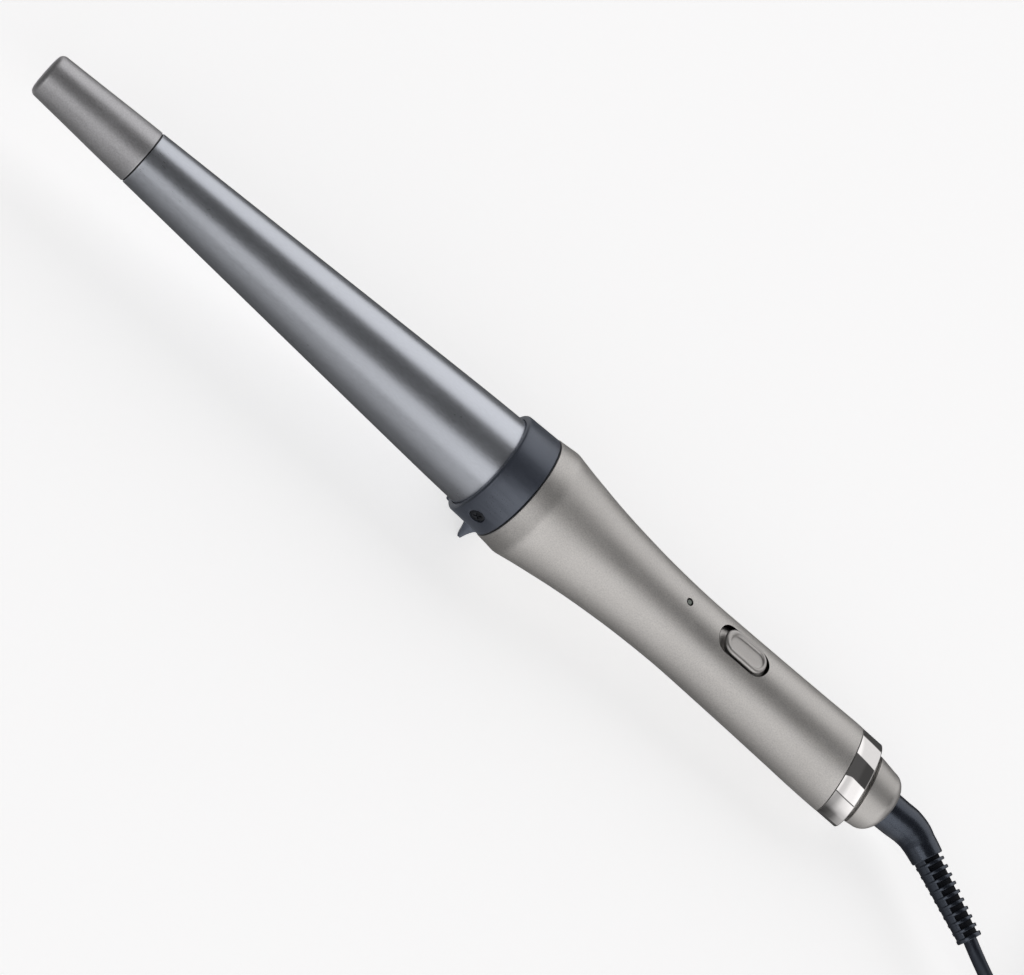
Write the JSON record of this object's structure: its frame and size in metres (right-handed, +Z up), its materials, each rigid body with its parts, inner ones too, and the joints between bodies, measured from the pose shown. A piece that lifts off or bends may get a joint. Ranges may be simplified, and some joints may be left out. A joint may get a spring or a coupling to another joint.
{
  "type": "conical curling wand",
  "caption": "Mains curling wand with a tapered hot barrel, insulated tip, slide switch, fold-down safety stand and a swivelling cord with a plug.",
  "frame": {"origin": "on the floor, under the middle of the wand without its cord: halfway between the tip's end and the end cap's rear, on the centre line", "axes": "+X along the wand from the insulated tip to the cord, +Z up through the slide switch, +Y to the left when looking from the tip towards the cord"},
  "size_m": [0.627, 0.0502, 0.0397],
  "materials": {
    "tip_plastic": "satin",
    "black_plastic": "matte",
    "steel": "satin",
    "barrel_coating": "gloss",
    "heater_aluminium": "satin",
    "heater_ceramic": "matte",
    "mica": "satin",
    "sensor_glass": "gloss",
    "fuse_ceramic": "satin",
    "silicone_wire": "satin",
    "collar_plastic": "satin",
    "dark_steel": "satin",
    "seat_plastic": "matte",
    "handle_finish": "satin",
    "frame_plastic": "matte",
    "board_green": "satin",
    "component_black": "satin",
    "led_plastic": "gloss",
    "lens_clear": "gloss",
    "switch_black": "satin",
    "switch_white": "satin",
    "knob_plastic": "satin",
    "blue_wire": "satin",
    "mirror_ring": "polished",
    "cap_plastic": "satin",
    "brush_copper": "satin",
    "slip_brass": "polished",
    "cord_rubber": "satin",
    "tie_rubber": "matte",
    "pin_nickel": "polished"
  },
  "bodies": {
    "wand": {"cool_tip": "tip_plastic", "tip_insulator": "black_plastic", "tip_screw": "steel", "barrel": "barrel_coating", "heater_block_upper": "heater_aluminium", "heater_block_lower": "heater_aluminium", "ptc_heater": "heater_ceramic", "mica_sheets": "mica", "heater_clips": "steel", "thermistor": "sensor_glass", "thermal_fuse": "fuse_ceramic", "heater_leads": "silicone_wire", "collar": "collar_plastic", "collar_screws": "dark_steel", "stand_pin": "steel", "barrel_seat": "seat_plastic", "heat_shield": "mica", "seat_screws": "steel", "handle_shell": "handle_finish", "chassis": "frame_plastic", "board_screws": "steel", "circuit_board": "board_green", "board_components": "component_black", "led": "led_plastic", "light_pipe": "lens_clear", "switch_housing": "switch_black", "supply_wires": "blue_wire", "chrome_ring": "mirror_ring", "end_cap": "cap_plastic", "swivel_housing": "frame_plastic", "swivel_brushes": "brush_copper"},
    "switch": {"switch_knob": "knob_plastic", "switch_actuator": "switch_white"},
    "stand": {"safety_stand": "collar_plastic"},
    "swivel": {"swivel_rotor": "black_plastic", "slip_rings": "slip_brass", "swivel_clip": "steel", "cord_boot": "cord_rubber", "power_cord": "cord_rubber", "cord_hank": "cord_rubber", "cord_tail": "cord_rubber", "hank_tie": "tie_rubber", "plug_body": "cord_rubber", "plug_pins": "pin_nickel", "plug_sleeves": "black_plastic"}
  },
  "joints": [
    {"name": "switch_slide", "type": "slide", "parent": "wand", "child": "switch", "axis": [-0.999, 0, 0.0436], "range_m": [0, 0.002]},
    {"name": "stand_swing", "type": "hinge", "parent": "wand", "child": "stand", "pos_m": [0.00064, 0, 0.0037], "axis": [0, 1, 0], "range_deg": [0, 90]},
    {"name": "cord_swivel", "type": "hinge", "parent": "wand", "child": "swivel", "pos_m": [0.17045, 0, 0.014], "axis": [0.999, 0, -0.0436], "continuous": true}
  ]
}
